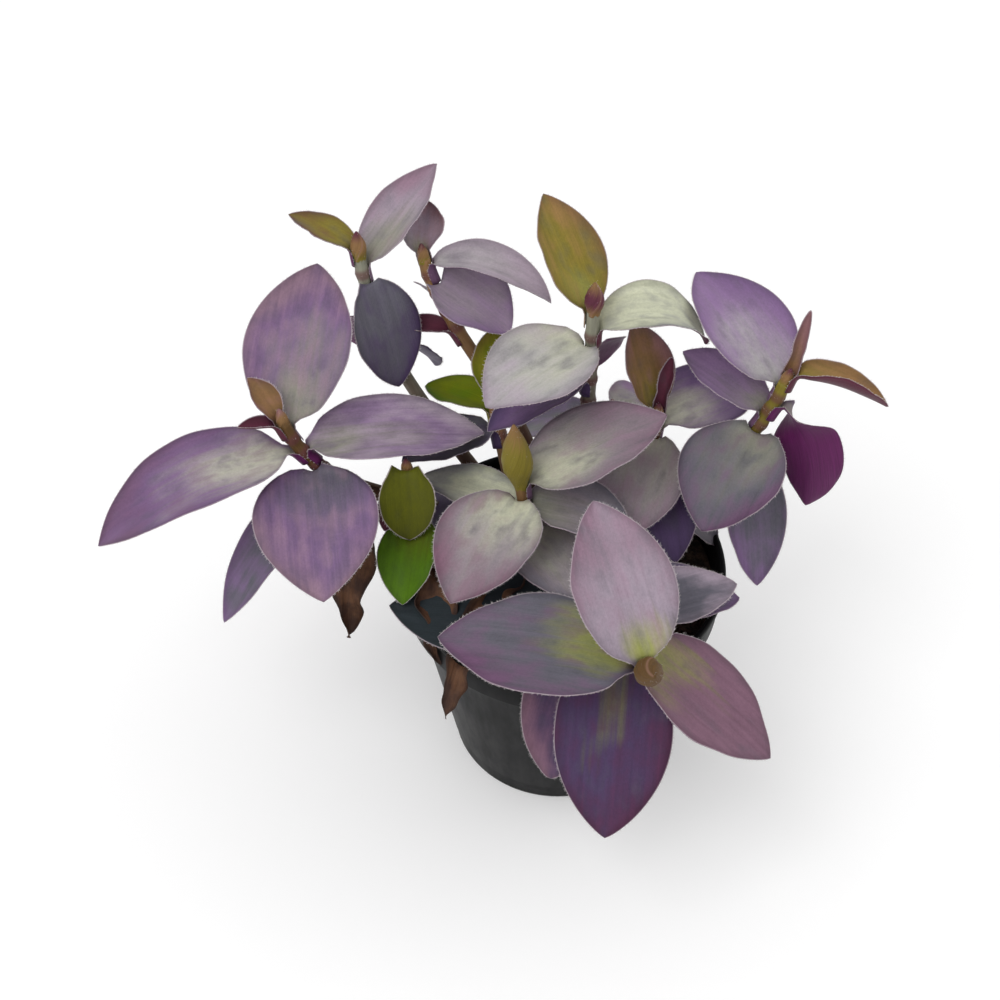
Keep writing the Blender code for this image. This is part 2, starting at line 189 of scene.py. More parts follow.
LOOKS = {
    "a1": ("sage", "violet", "mauve", "plum"),
    "a2": ("silver", "violet", "plum", "magenta"),
    "a3": ("sage", "lilac", "frost", "magenta"),
    "a4": ("slate", "violet", "mauve", "plum"),
    "a5": ("bronze", "bronze", "rose", "magenta"),
    "a6": ("slate", "slate", "violet", "indigo"),
    "a7": ("wine", "wine", "wine", "wine"),
    "b1": ("sage", "frost", "mauve", "plum"),
    "b2": ("olive", "olive", "wine", "magenta"),
    "b3": ("slate", "slate", "indigo", "indigo"),
    "b4": ("teal", "indigo", "indigo", "indigo"),
    "b5": ("slate", "violet", "plum", "magenta"),
    "c1": ("lime", "frost", "rose", "magenta"),
    "c2": ("frost", "frost", "lilac", "plum"),
    "c3": ("ash", "frost", "frost", "plum"),
    "c4": ("sage", "violet", "plum", "magenta"),
    "c5": ("wine", "wine", "wine", "wine"),
    "d1": ("lime", "olive", "bronze", "bronze"),
    "d2": ("silver", "silver", "slate", "wine"),
    "d3": ("silver", "ash", "frost", "magenta"),
    "d4": ("slate", "violet", "indigo", "indigo"),
    "d5": ("sage", "frost", "violet", "magenta"),
    "e1": ("ash", "lilac", "violet", "plum"),
    "e2": ("olive", "bronze", "bronze", "wine"),
    "e3": ("bronze", "rose", "rose", "wine"),
    "e4": ("sage", "lilac", "lilac", "plum"),
    "e5": ("sage", "slate", "plum", "magenta"),
    "e6": ("sage", "violet", "plum", "magenta"),
    "e7": ("slate", "slate", "violet", "indigo"),
    "f1": ("silver", "violet", "indigo", "magenta"),
    "f2": ("olive", "bronze", "rose", "magenta"),
    "f3": ("slate", "indigo", "indigo", "magenta"),
    "f4": ("silver", "greige", "mauve", "plum"),
    "f5": ("slate", "grey", "slate", "plum"),
    "f6": ("wine", "wine", "wine", "wine"),
    "g1": ("silver", "greige", "mauve", "plum"),
    "g2": ("silver", "greige", "dusk", "plum"),
    "g3": ("silver", "silver", "slate", "plum"),
    "g4": ("silver", "greige", "slate", "magenta"),
    "g6": ("sage", "greige", "slate", "magenta"),
    "h1": ("lime", "frost", "mauve", "plum"),
    "h2": ("lime", "slate", "plum", "magenta"),
    "h3": ("lime", "dusk", "dusk", "magenta"),
    "h4": ("lime", "indigo", "aubergine", "magenta"),
    "h5": ("slate", "indigo", "dusk", "magenta"),
    "h6": ("slate", "slate", "violet", "plum"),
    "h7": ("teal", "teal", "teal", "indigo"),
    "h8": ("slate", "slate", "frost", "plum"),
    "i1": ("moss", "moss", "moss", "olive"),
    "i2": ("moss", "fern", "fern", "moss"),
    "i3": ("bronze", "wine", "wine", "wine"),
    "i5": ("slate", "indigo", "indigo", "indigo"),
    "j1": ("lettuce", "lettuce", "fern", "olive"),
    "j2": ("olive", "lettuce", "olive", "moss"),
    "j3": ("slate", "slate", "indigo", "indigo"),
    "k1": ("sage", "violet", "plum", "magenta"),
    "k2": ("sage", "slate", "violet", "magenta"),
}
BUD_COLOURS = {
    "a": ("umber", "bronze", "rose"),
    "b": ("olive", "bronze", "wine"),
    "d": ("bronze", "wine", "bronze"),
    "g": ("olive", "olive", "bronze"),
    "h": ("olive", "umber", "umber"),
}
STEM_TOPS = {"a": "umber", "b": "sage", "d": "sage", "e": "olive"}


def smooth(value):
    value = min(1.0, max(0.0, value))
    return value * value * (3.0 - 2.0 * value)


def mix(a, b, share):
    return a + (b - a) * share


def linear(name):
    """A palette colour as linear RGBA."""
    return (*[pow(part / 255.0, 2.2) for part in PALETTE[name]], 1.0)


def direction(heading, rise):
    level = math.cos(math.radians(rise))
    return Vector((level * math.cos(math.radians(heading)),
                   level * math.sin(math.radians(heading)),
                   math.sin(math.radians(rise))))


# ---- node helpers ----

class Nodes:
    """Short calls for building one material's node tree."""

    def __init__(self, name):
        self.material = bpy.data.materials.new(name)
        self.material.use_nodes = True
        self.tree = self.material.node_tree
        self.shader = self.tree.nodes["Principled BSDF"]

    def put(self, socket, value):
        if isinstance(value, bpy.types.NodeSocket):
            self.tree.links.new(value, socket)
        else:
            socket.default_value = value

    def attribute(self, name):
        node = self.tree.nodes.new("ShaderNodeAttribute")
        node.attribute_name = name
        return node.outputs["Vector"]

    def coordinates(self):
        return self.tree.nodes.new("ShaderNodeTexCoord").outputs["Object"]

    def parts(self, vector):
        node = self.tree.nodes.new("ShaderNodeSeparateXYZ")
        self.put(node.inputs[0], vector)
        return node.outputs[0], node.outputs[1], node.outputs[2]

    def stretch(self, vector, scale):
        node = self.tree.nodes.new("ShaderNodeVectorMath")
        node.operation = "MULTIPLY"
        self.put(node.inputs[0], vector)
        self.put(node.inputs[1], scale)
        return node.outputs[0]

    def noise(self, vector, scale, detail=2.0, rough=0.5):
        node = self.tree.nodes.new("ShaderNodeTexNoise")
        self.put(node.inputs["Vector"], vector)
        node.inputs["Scale"].default_value = scale
        node.inputs["Detail"].default_value = detail
        node.inputs["Roughness"].default_value = rough
        return node.outputs["Fac"]

    def cells(self, vector, scale):
        node = self.tree.nodes.new("ShaderNodeTexVoronoi")
        self.put(node.inputs["Vector"], vector)
        node.inputs["Scale"].default_value = scale
        return node.outputs["Distance"]

    def math(self, operation, a, b=0.0, c=0.0):
        node = self.tree.nodes.new("ShaderNodeMath")
        node.operation = operation
        for socket, value in zip(node.inputs, (a, b, c)):
            self.put(socket, value)
        return node.outputs[0]

    def ramp(self, value, low, high, start=0.0, end=1.0):
        node = self.tree.nodes.new("ShaderNodeMapRange")
        node.interpolation_type = "SMOOTHSTEP"
        for key, item in (("Value", value), ("From Min", low), ("From Max", high),
                          ("To Min", start), ("To Max", end)):
            self.put(node.inputs[key], item)
        return node.outputs["Result"]

    def blend(self, factor, a, b, mode="MIX"):
        node = self.tree.nodes.new("ShaderNodeMix")
        node.data_type = "RGBA"
        node.blend_type = mode
        self.put(node.inputs["Factor"], factor)
        self.put(node.inputs["A"], a)
        self.put(node.inputs["B"], b)
        return node.outputs["Result"]

    def shade(self, colour, value):
        """Colour multiplied by a grey value."""
        node = self.tree.nodes.new("ShaderNodeVectorMath")
        node.operation = "SCALE"
        self.put(node.inputs[0], colour)
        self.put(node.inputs["Scale"], value)
        return node.outputs[0]

    def bump(self, height, strength, distance):
        node = self.tree.nodes.new("ShaderNodeBump")
        self.put(node.inputs["Height"], height)
        node.inputs["Strength"].default_value = strength
        node.inputs["Distance"].default_value = distance
        self.put(self.shader.inputs["Normal"], node.outputs["Normal"])

    def finish(self, colour, roughness, **plain):
        self.put(self.shader.inputs["Base Color"], colour)
        self.put(self.shader.inputs["Roughness"], roughness)
        for key, value in plain.items():
            self.shader.inputs[key.replace("_", " ")].default_value = value
        return self.material


# ---- materials ----

def leaf_material(name, base, middle, tip, under):
    """Velvety blade: the base colour flares out along the veins into the tip colour."""
    n = Nodes(name)
    grain = n.attribute("grain")
    edge, zone, flag = n.parts(n.attribute("skin"))
    fingers = n.noise(n.stretch(grain, (0.55, 0.022, 1.0)), 1.0, 2.0)
    veins = n.noise(n.stretch(grain, (2.2, 0.08, 1.0)), 1.0, 2.0)
    cloud = n.noise(n.stretch(grain, (0.060, 0.040, 1.0)), 1.0, 1.0)
    patch = n.noise(n.stretch(grain, (0.16, 0.09, 1.7)), 1.0, 2.0)
    velvet = n.noise(n.stretch(grain, (1.3, 1.0, 1.0)), 1.0, 3.0, 0.75)
    shifted = n.math("MULTIPLY_ADD", fingers, 0.34, n.math("ADD", zone, -0.17))
    shifted = n.math("MULTIPLY_ADD", cloud, 0.80, n.math("ADD", shifted, -0.40))
    reach = 0.48 if base == "lime" else 0.75
    colour = n.blend(n.ramp(shifted, -0.08, reach), linear(base), linear(middle))
    colour = n.blend(n.ramp(shifted, 0.50, 1.20), colour, linear(tip))
    colour = n.blend(n.ramp(patch, 0.40, 0.75, 0.0, 0.55), colour, linear(tip))
    share = 0.08 if middle in GREENS else 0.45
    bloom = tuple(mix(a, b, share) for a, b in zip(linear(middle), linear("slate")))
    colour = n.blend(n.ramp(patch, 0.52, 0.18, 0.0, 0.60), colour, bloom)
    value = n.math("MULTIPLY_ADD", velvet, 0.50, 0.73)
    # Painted sheen: the blade is made lighter along the vein streaks, standing in for the silvery
    # sheen of its velvet.
    value = n.math("MULTIPLY_ADD", fingers, 0.50, n.math("ADD", value, -0.25))
    value = n.math("MULTIPLY_ADD", patch, 0.50, n.math("ADD", value, -0.25))
    # Painted shade: the blade darkens within the last 4 mm to its margin and is a little lighter
    # inside, standing in for the shading of its curved surface.
    value = n.math("MULTIPLY", value, n.ramp(edge, 0.3, 4.0, 0.84, 1.04))
    colour = n.shade(colour, value)
    colour = n.blend(n.ramp(edge, 0.38, 0.12, 0.0, 0.70), colour, (0.50, 0.42, 0.46, 1.0))
    below = n.shade(linear(under)[:3], n.math("MULTIPLY_ADD", veins, 0.7, 0.65))
    colour = n.blend(flag, colour, below)
    n.bump(n.math("MULTIPLY_ADD", velvet, 0.6, veins), 0.30, 0.0004)
    roughness = n.math("MULTIPLY_ADD", velvet, 0.20, n.math("MULTIPLY_ADD", flag, -0.14, 0.52))
    return n.finish(colour, roughness, Sheen_Weight=0.05, Sheen_Roughness=0.5,
                    Specular_IOR_Level=0.2)


def dry_material():
    n = Nodes("dry_leaf_material")
    grain = n.attribute("grain")
    edge, zone, flag = n.parts(n.attribute("skin"))
    fibres = n.noise(n.stretch(grain, (1.4, 0.08, 1.0)), 1.0, 3.0, 0.6)
    blotch = n.noise(n.stretch(grain, (0.16, 0.12, 1.0)), 1.0, 3.0)
    colour = n.blend(n.ramp(blotch, 0.35, 0.65), (0.050, 0.022, 0.014, 1.0), (0.13, 0.060, 0.030, 1.0))
    colour = n.blend(n.ramp(edge, 2.0, 0.2, 0.0, 0.6), colour, (0.020, 0.010, 0.008, 1.0))
    colour = n.shade(colour, n.math("MULTIPLY_ADD", fibres, 1.0, 0.5))
    n.bump(fibres, 0.6, 0.0007)
    return n.finish(colour, n.math("MULTIPLY_ADD", fibres, 0.2, 0.6), Specular_IOR_Level=0.3)


def stem_material(key):
    n = Nodes("stem_%s_material" % key)
    grain = n.attribute("grain")
    edge, along, flag = n.parts(n.attribute("skin"))
    streaks = n.noise(n.stretch(grain, (1.3, 0.08, 1.0)), 1.0, 3.0, 0.6)
    blotch = n.noise(n.stretch(grain, (0.15, 0.05, 1.0)), 1.0, 2.0)
    low, high = (0.075, 0.034, 0.020, 1.0), linear(STEM_TOPS.get(key, "bronze"))
    height = n.math("MULTIPLY_ADD", blotch, 0.5, n.math("ADD", along, -0.25))
    colour = n.blend(n.ramp(height, 0.1, 0.95), low, high)
    colour = n.blend(n.ramp(edge, 3.2, 0.8, 0.0, 0.7), colour, (0.12, 0.035, 0.04, 1.0))
    colour = n.shade(colour, n.math("MULTIPLY_ADD", streaks, 0.8, 0.6))
    n.bump(streaks, 0.4, 0.0004)
    return n.finish(colour, n.math("MULTIPLY_ADD", streaks, 0.2, 0.45), Sheen_Weight=0.08,
                    Sheen_Roughness=0.4, Specular_IOR_Level=0.25)


def hair_material():
    n = Nodes("hair_material")
    tone = n.noise(n.coordinates(), 300.0, 1.0)
    colour = n.blend(tone, (0.72, 0.66, 0.66, 1.0), (0.86, 0.84, 0.82, 1.0))
    return n.finish(colour, n.math("MULTIPLY_ADD", tone, 0.2, 0.4), Specular_IOR_Level=0.4)


def pot_material():
    n = Nodes("pot_plastic_material")
    place = n.coordinates()
    x, y, z = n.parts(place)
    grain = n.noise(place, 2600.0, 2.0, 0.6)
    scuffs = n.noise(n.stretch(place, (1.0, 1.0, 0.35)), 55.0, 5.0, 0.62)
    dust = n.math("MULTIPLY", n.ramp(scuffs, 0.50, 0.75), n.ramp(z, 0.030, 0.0, 0.15, 0.55))
    colour = n.blend(dust, (0.0045, 0.0045, 0.0050, 1.0), (0.012, 0.011, 0.010, 1.0))
    roughness = n.ramp(scuffs, 0.3, 0.75, 0.38, 0.55)
    n.bump(n.math("MULTIPLY_ADD", scuffs, 0.4, grain), 0.12, 0.0002)
    return n.finish(colour, roughness, Specular_IOR_Level=0.06)


def soil_material():
    n = Nodes("potting_soil_material")
    place = n.coordinates()
    fine = n.noise(place, 900.0, 4.0, 0.7)
    lumps = n.noise(place, 190.0, 3.0, 0.6)
    colour = n.blend(n.ramp(lumps, 0.35, 0.65), (0.010, 0.007, 0.005, 1.0), (0.052, 0.030, 0.019, 1.0))
    colour = n.blend(n.ramp(fine, 0.60, 0.74, 0.0, 0.6), colour, (0.13, 0.085, 0.055, 1.0))
    n.bump(n.math("MULTIPLY_ADD", lumps, 1.5, fine), 0.9, 0.0012)
    return n.finish(colour, n.ramp(fine, 0.3, 0.7, 0.98, 0.8), Specular_IOR_Level=0.25)


def perlite_material():
    n = Nodes("perlite_material")
    pores = n.cells(n.coordinates(), 1500.0)
    colour = n.blend(n.ramp(pores, 0.1, 0.6), (0.38, 0.35, 0.30, 1.0), (0.74, 0.72, 0.67, 1.0))
    n.bump(pores, 0.8, 0.0005)
    return n.finish(colour, n.ramp(pores, 0.0, 0.8, 0.95, 0.75))


HAIR = hair_material()
DRY = dry_material()
SOIL = soil_material()


# ---- pieces ----

def add_piece(name, bm, materials, replaces=(), smooth_faces=True):
    for face in bm.faces:
        face.smooth = smooth_faces
    bmesh.ops.recalc_face_normals(bm, faces=bm.faces)
    mesh = bpy.data.meshes.new(name)
    bm.to_mesh(mesh)
    bm.free()
    for item in materials:
        mesh.materials.append(item)
    obj = bpy.data.objects.new(name, mesh)
    bpy.context.scene.collection.objects.link(obj)
    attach(obj, "root")
    if replaces:
        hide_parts(*replaces)
    return obj


def spike(bm, root, pointing, length, width, index, bend=None):
    """A closed three-sided hair, its foot sunk a little into the surface."""
    pointing = pointing.normalized()
    side = pointing.orthogonal().normalized()
    other = pointing.cross(side)
    ring = []
    for i in range(3):
        turn = math.tau * i / 3
        ring.append(bm.verts.new((root + side * (width * math.cos(turn))
                                  + other * (width * math.sin(turn))) * MM))
    tip = bm.verts.new((root + (pointing + (bend or Vector())).normalized() * length) * MM)
    faces = [bm.faces.new((ring[2], ring[1], ring[0]))]
    for i in range(3):
        faces.append(bm.faces.new((ring[i], ring[(i + 1) % 3], tip)))
    for face in faces:
        face.material_index = index


# ---- stems ----

def stem_point(key, share):
    """Centre line of a shoot, a cubic curve from the soil to the tip."""
    foot, tip, heading, rise, lift, reach = STEMS[key][:6]
    start = Vector((foot[0], foot[1], SOIL_TOP + SOIL_CROWN + 1.0))
    end = Vector(tip)
    lower = start + UP * lift
    upper = end - direction(heading, rise) * reach
    back = 1.0 - share
    return (start * back ** 3 + lower * (3.0 * back * back * share)
            + upper * (3.0 * back * share * share) + end * share ** 3)


def stem_line(key, count=60):
    """Evenly numbered points with their distance below the tip."""
    points = [stem_point(key, i / count) for i in range(count + 1)]
    below = [0.0]
    for a, b in zip(reversed(points[1:]), reversed(points[:-1])):
        below.append(below[-1] + (b - a).length)
    return points, list(reversed(below))


LINES = {key: stem_line(key) for key in STEMS}


def stem_radius(key, below):
    """Slim shoot that swells into the furled bud at its tip."""
    length, widest = STEMS[key][6:]
    total = LINES[key][1][0]
    if below >= length:
        return mix(STEM_TOP_RADIUS, STEM_RADIUS, (below - length) / (total - length))
    share = below / length
    if share > 0.6:
        return mix(widest, STEM_TOP_RADIUS, smooth((share - 0.6) / 0.4))
    return mix(0.5, widest, math.sin(0.5 * math.pi * share / 0.6))


def at_distance(key, below):
    """Point, axis and radius of a shoot at a distance below its tip."""
    points, distances = LINES[key]
    for i in range(len(points) - 1):
        if distances[i + 1] <= below <= distances[i]:
            span = distances[i] - distances[i + 1]
            share = (distances[i] - below) / span
            point = points[i].lerp(points[i + 1], share)
            axis = (points[i + 1] - points[i]).normalized()
            return point, axis, stem_radius(key, below)
    raise ValueError("no point %.0f below the tip of shoot %s" % (below, key))


def node_distances(key):
    rows = [row for row in LEAVES.values() if row[0] == key]
    return sorted(row[1] + SHEATH_LENGTH for row in rows)


def tube_rings(bm, rings, sides, grain_layer, skin_layer, seed):
    """Lofts rings of (centre, axis, radius function, along, node distance) into one closed body."""
    loops = []
    run = 0.0
    last = None
    frame_side = None
    for centre, axis, radius_at, along, near in rings:
        if frame_side is None:
            frame_side = axis.orthogonal()
        frame_side = (frame_side - axis * frame_side.dot(axis)).normalized()
        other = axis.cross(frame_side)
        if last is not None:
            run += (centre - last).length
        last = centre
        loop = []
        for i in range(sides):
            turn = math.tau * i / sides
            radius = radius_at(turn)
            vert = bm.verts.new((centre + frame_side * (radius * math.cos(turn))
                                 + other * (radius * math.sin(turn))) * MM)
            around = radius * 3.0 * abs(turn / math.pi - 1.0)
            vert[grain_layer] = Vector((around, run, seed))
            vert[skin_layer] = Vector((near, along, 0.0))
            loop.append(vert)
        loops.append(loop)
    for a, b in zip(loops, loops[1:]):
        for i in range(sides):
            j = (i + 1) % sides
            bm.faces.new((a[i], a[j], b[j], b[i]))
    bm.faces.new(list(reversed(loops[0])))
    bm.faces.new(loops[-1])


def build_stem(key, rng):
    foot, bud_length = STEMS[key][0], STEMS[key][6]
    total = LINES[key][1][0]
    joints = node_distances(key)
    bm = bmesh.new()
    grain = bm.verts.layers.float_vector.new("grain")
    skin = bm.verts.layers.float_vector.new("skin")
    seed = rng.uniform(0.0, 90.0)

    def swell(below):
        near = min([abs(below - j) for j in joints] or [99.0])
        return 1.0 + 0.22 * math.exp(-(near / 1.8) ** 2), near

    rings = [(Vector((foot[0], foot[1], SOIL_TOP - 10.0)), UP,
              lambda turn: STEM_RADIUS, 0.0, 9.0)]
    count = max(24, int((total - bud_length) / 1.6))
    for i in range(count + 1):
        below = mix(total, bud_length * 0.8, i / count)
        centre, axis, radius = at_distance(key, below)
        bulge, near = swell(below)
        if below < bud_length:
            radius = STEM_TOP_RADIUS
        size = radius * bulge

        def radius_at(turn, size=size, below=below):
            return size * (1.0 + 0.035 * math.sin(3.0 * turn + below * 0.11)
                           + 0.02 * math.sin(7.0 * turn + seed))
        rings.append((centre, axis, radius_at, 1.0 - below / total, near))
    tube_rings(bm, rings, 20, grain, skin, seed)
    for joint in joints:
        if joint > total - 2.0:
            continue
        centre, axis, radius = at_distance(key, joint)
        side = axis.orthogonal().normalized()
        other = axis.cross(side)
        for _i in range(14):
            turn = rng.uniform(0.0, math.tau)
            out = side * math.cos(turn) + other * math.sin(turn)
            spike(bm, centre + out * (radius * 1.05), out + axis * rng.uniform(0.3, 1.2),
                  rng.uniform(1.0, 2.0), 0.06, 1)
    add_piece("stem_%s_shoot" % key, bm, [stem_material(key), HAIR], ["stem_" + key])


def bud_material(name, base, middle, tip):
    n = Nodes(name)
    grain = n.attribute("grain")
    edge, along, flag = n.parts(n.attribute("skin"))
    streaks = n.noise(n.stretch(grain, (1.6, 0.10, 1.0)), 1.0, 3.0, 0.6)
    velvet = n.noise(n.stretch(grain, (2.6, 1.6, 1.0)), 1.0, 2.0, 0.7)
    shifted = n.math("MULTIPLY_ADD", streaks, 0.4, n.math("ADD", along, -0.2))
    colour = n.blend(n.ramp(shifted, 0.05, 0.5), linear(base), linear(middle))
    colour = n.blend(n.ramp(shifted, 0.6, 1.0), colour, linear(tip))
    colour = n.blend(n.ramp(edge, 0.8, 0.1, 0.0, 0.45), colour, (0.30, 0.16, 0.12, 1.0))
    colour = n.shade(colour, n.math("MULTIPLY_ADD", streaks, 0.6, 0.7))
    n.bump(n.math("MULTIPLY_ADD", velvet, 0.4, streaks), 0.5, 0.0005)
    return n.finish(colour, n.math("MULTIPLY_ADD", velvet, 0.2, 0.45), Sheen_Weight=0.06,
                    Sheen_Roughness=0.4, Specular_IOR_Level=0.25)


def build_bud(key, rng):
    """The furled young leaf at a tip: a pointed roll whose outer margin overlaps the inner."""
    length, widest = STEMS[key][6:]
    bm = bmesh.new()
    grain = bm.verts.layers.float_vector.new("grain")
    skin = bm.verts.layers.float_vector.new("skin")
    sides, rows = 36, 26
    seed = rng.uniform(0.0, 90.0)
    turn_start = rng.uniform(0.0, math.tau)
    loops = []
    for k in range(rows + 1):
        below = mix(length, 0.0, k / rows)
        centre, axis, radius = at_distance(key, below)
        radius = max(radius, 0.35)
        side = (Vector((1.0, 0.0, 0.0)) - axis * axis.x).normalized()
        other = axis.cross(side)
        twist = turn_start + 2.4 * k / rows
        loop = []
        for i in range(sides):
            around = i / sides
            step = smooth(around / 0.10) if around < 0.10 else 1.0 - 0.9 * (around - 0.10)
            size = radius * (0.90 + 0.13 * step)
            size *= 1.0 + 0.025 * math.sin(9.0 * math.tau * around)
            turn = twist + math.tau * around
            out = side * math.cos(turn) + other * math.sin(turn)
            vert = bm.verts.new((centre + out * size) * MM)
            vert[grain] = Vector((around * 6.0 * widest, length - below, seed))
            near = abs(around - 0.08) * math.tau * radius
            vert[skin] = Vector((min(near, 3.0), k / rows, 0.0))
            loop.append(vert)
        loops.append(loop)
    for a, b in zip(loops, loops[1:]):
        for i in range(sides):
            j = (i + 1) % sides
            bm.faces.new((a[i], a[j], b[j], b[i]))
    bm.faces.new(list(reversed(loops[0])))
    bm.faces.new(loops[-1])
    hairs = int(18 * length / 10)
    for _i in range(hairs):
        below = rng.uniform(0.0, length)
        centre, axis, radius = at_distance(key, below)
        out = axis.orthogonal().normalized()
        out = (out * math.cos(_i * 2.4) + axis.cross(out) * math.sin(_i * 2.4)).normalized()
        spike(bm, centre + out * (radius * 0.93), out + axis * 1.2, rng.uniform(0.8, 1.4), 0.05, 1)
    colours = BUD_COLOURS.get(key, ("olive", "bronze", "wine"))
    look = bud_material("bud_%s_material" % key, *colours)
    add_piece("bud_" + key, bm, [look, HAIR])


# ---- leaves ----

def blade_profile(share):
    """Share of the full width: ovate, widest before the middle, pointed."""
    return (share ** 0.78) * ((1.0 - share) ** 0.90) / 0.313


def leaf_frames(row, distances):
    """Midrib point, side, face and forward vectors at each distance past the sheath."""
    key, below, heading, rise, droop, swing, roll, length = row[:8]
    centre, axis, radius = at_distance(key, below)
    radius += LEAF_GAP
    flat = direction(heading, 0.0)
    out = (flat - axis * flat.dot(axis)).normalized()
    point = centre + out * radius
    frames = {}
    step = 0.25
    here = -SHEATH_LENGTH
    wanted = sorted(distances)
    while wanted:
        share = max(here, 0.0) / length
        turn = smooth(here / BEND_LENGTH)
        forward = direction(heading + swing * share, rise - droop * share)
        forward = axis.lerp(forward, turn).normalized()
        level = math.radians(heading + swing * share)
        side_blade = Vector((math.sin(level), -math.cos(level), 0.0))
        side_stem = out.cross(axis)
        if side_stem.dot(side_blade) < 0.0:
            side_stem = -side_stem
        side = side_stem.lerp(side_blade, turn)
        side = (side - forward * side.dot(forward)).normalized()
        face = side.cross(forward)
        angle = math.radians(roll) * smooth(2.5 * share)
        side_r = side * math.cos(angle) + face * math.sin(angle)
        face_r = face * math.cos(angle) - side * math.sin(angle)
        while wanted and here >= wanted[0] - 1e-6:
            frames[wanted.pop(0)] = (point.copy(), side_r, face_r, forward)
        point = point + forward * step
        here += step
    return frames, radius


def leaf_section(distance, length, width, cup, radius):
    """Half arc length and half arc angle of the cross-section."""
    wrap = math.radians(SHEATH_WRAP)
    half = radius * wrap
    if distance <= 0.0:
        return half, wrap
    share = distance / length
    opening = smooth(distance / (BEND_LENGTH * 1.2))
    spread = smooth((distance + 1.5) / (BASE_SPREAD * length))
    half = max(half * (1.0 - share), width * 0.5 * blade_profile(share) * spread)
    return half, mix(wrap, math.radians(cup), opening)


def build_leaf(name, row, materials, replaces, rng, crumple=0.0, hairy=True):
    length, width, cup = row[7:10]
    across = 16
    rows = max(20, int(length / 1.6))
    shares = [1.0 - (1.0 - i / rows) ** 1.15 for i in range(rows)]
    distances = [-SHEATH_LENGTH, -SHEATH_LENGTH * 0.5] + [length * s for s in shares]
    distances = [round(d * 4.0) / 4.0 for d in distances]
    distances = sorted(set(distances))
    frames, radius = leaf_frames(row, distances + [length])
    seed = rng.uniform(0.0, 90.0)
    phases = [rng.uniform(0.0, math.tau) for _i in range(6)]
    waves = rng.uniform(1.6, 2.6)
    lean = rng.choice((-1.0, 1.0)) * rng.uniform(0.06, 0.22)
    bm = bmesh.new()
    grain = bm.verts.layers.float_vector.new("grain")
    skin = bm.verts.layers.float_vector.new("skin")

    def station(distance):
        point, side, face, forward = frames[distance]
        half, angle = leaf_section(distance, length, width, cup, radius)
        share = max(distance, 0.0) / length
        bend = half / angle
        open_blade = smooth(distance / 14.0)
        top, low = [], []
        for i in range(across + 1):
            u = 2.0 * i / across - 1.0
            u = math.copysign(abs(u) ** 0.85, u)
            turn = angle * u
            place = point + side * (bend * math.sin(turn)) + face * (bend * (1.0 - math.cos(turn)))
            normal = face * math.cos(turn) - side * math.sin(turn)
            edge_wave = math.sin(waves * math.tau * share + phases[0 if u < 0 else 1])
            edge_wave += 0.5 * math.sin(2.3 * waves * math.tau * share + phases[2 if u < 0 else 3])
            lift = 0.32 * edge_wave * abs(u) ** 3 * min(1.0, half / 8.0)
            lift -= 0.55 * math.exp(-(half * u / 1.3) ** 2) * (1.0 - 0.7 * share)
            lift += 0.10 * math.cos(half * u * 1.9) * (1.0 - abs(u))
            lift += 0.7 * noise.noise(Vector((half * u * 0.07 + seed, distance * 0.07, seed)))
            lift += crumple * 3.0 * noise.noise(Vector((half * u * 0.16, distance * 0.12, seed)))
            place = place + normal * (lift * open_blade)
            thick = mix(0.8, 0.34, smooth(abs(u) * 1.02)) * mix(1.0, 0.6, share)
            for target, spot, flag in ((top, place, 0.0), (low, place - normal * thick, 1.0)):
                vert = bm.verts.new(spot * MM)
                vert[grain] = Vector((half * u, distance, seed))
                zone = 0.88 * share + 0.40 * u * u + lean * u
                vert[skin] = Vector((half * (1.0 - abs(u)), zone, flag))
                target.append(vert)
        return top, low

    tops, lows = zip(*[station(d) for d in distances])
    point, side, face, forward = frames[length]
    tip = bm.verts.new((point - face * 0.15) * MM)
    tip[grain] = Vector((0.0, length, seed))
    tip[skin] = Vector((0.0, 1.0, 0.0))
    for grid in (tops, lows):
        for a, b in zip(grid, grid[1:]):
            for i in range(across):
                bm.faces.new((a[i], a[i + 1], b[i + 1], b[i]))
        for i in range(across):
            bm.faces.new((grid[-1][i], grid[-1][i + 1], tip))
    for i in (0, across):
        for k in range(len(distances) - 1):
            bm.faces.new((tops[k][i], tops[k + 1][i], lows[k + 1][i], lows[k][i]))
        bm.faces.new((tops[-1][i], tip, lows[-1][i]))
    for i in range(across):
        bm.faces.new((tops[0][i], tops[0][i + 1], lows[0][i + 1], lows[0][i]))
    bmesh.ops.recalc_face_normals(bm, faces=bm.faces)
    if hairy:
        margin_hairs(bm, tops, lows, across, frames, distances, rng)
    return add_piece(name, bm, materials, replaces)


def margin_hairs(bm, tops, lows, across, frames, distances, rng):
    """Fine pale hairs that stand out all round the margin of a blade."""
    for i, sign in ((0, -1.0), (across, 1.0)):
        for k in range(1, len(distances) - 1):
            a = (tops[k][i].co + lows[k][i].co) * (0.5 / MM)
            b = (tops[k + 1][i].co + lows[k + 1][i].co) * (0.5 / MM)
            gap = (b - a).length
            inner = (tops[k][i].co - tops[k][i - int(sign)].co).normalized()
            forward = (b - a).normalized()
            count = max(1, int(gap / 0.40))
            for _c in range(count):
                root = a.lerp(b, rng.random())
                out = inner + forward * rng.uniform(0.0, 1.1)
                out += frames[distances[k]][2] * rng.uniform(-0.35, 0.55)
                length = rng.uniform(0.5, 1.2)
                spike(bm, root - inner * 0.08, out, length, 0.075, 1, forward * 0.2)


